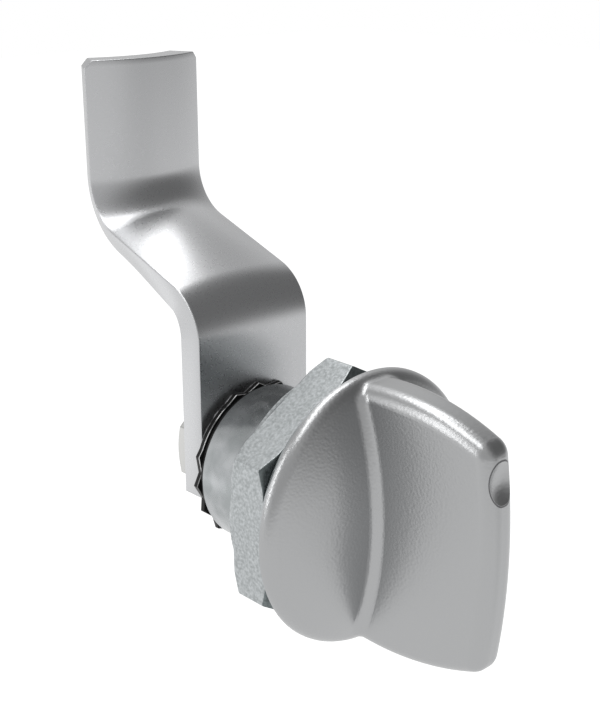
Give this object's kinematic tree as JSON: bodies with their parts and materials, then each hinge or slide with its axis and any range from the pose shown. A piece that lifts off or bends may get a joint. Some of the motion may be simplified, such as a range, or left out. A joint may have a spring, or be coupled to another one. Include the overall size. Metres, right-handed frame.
{
  "type": "quarter-turn cam latch",
  "caption": "Quarter-turn cam latch with a wing knob, round flanged housing, hexagon panel nut and a cranked cam that swings behind a frame.",
  "frame": {"origin": "on the latch axis, in the plane where the housing's flange seats on the panel", "axes": "+Y along the latch axis from the knob to the cam, +Z from the axis towards the cam's tip at rest, +X to the right as seen from the knob"},
  "size_m": [0.0366, 0.0702, 0.0717],
  "materials": {
    "knob_casting": "satin cast metal with a fine orange-peel texture",
    "polished_housing": "polished, mirror-like",
    "galvanised_nut": "galvanised, fine grey speckle",
    "cam_steel": "smooth zinc plated sheet steel",
    "screw_steel": "zinc plated",
    "bright_steel": "bright turned steel",
    "black_plastic": "black, moulded",
    "rubber": "matt black"
  },
  "bodies": {
    "housing": {"housing": "polished_housing", "flange_gasket": "rubber", "mounting_nut": "galvanised_nut", "thrust_washer": "black_plastic"},
    "turning": {"wing_knob": "knob_casting", "hub_seal": "rubber", "knob_pin": "bright_steel", "spindle": "bright_steel", "stop_washer": "black_plastic", "cam": "cam_steel", "lock_washer": "bright_steel", "cam_screw": "screw_steel"}
  },
  "joints": [
    {"name": "quarter_turn", "type": "hinge", "parent": "housing", "child": "turning", "pos_m": [0, 0, 0], "axis": [0, 1, 0], "range_deg": [0, 90]}
  ]
}
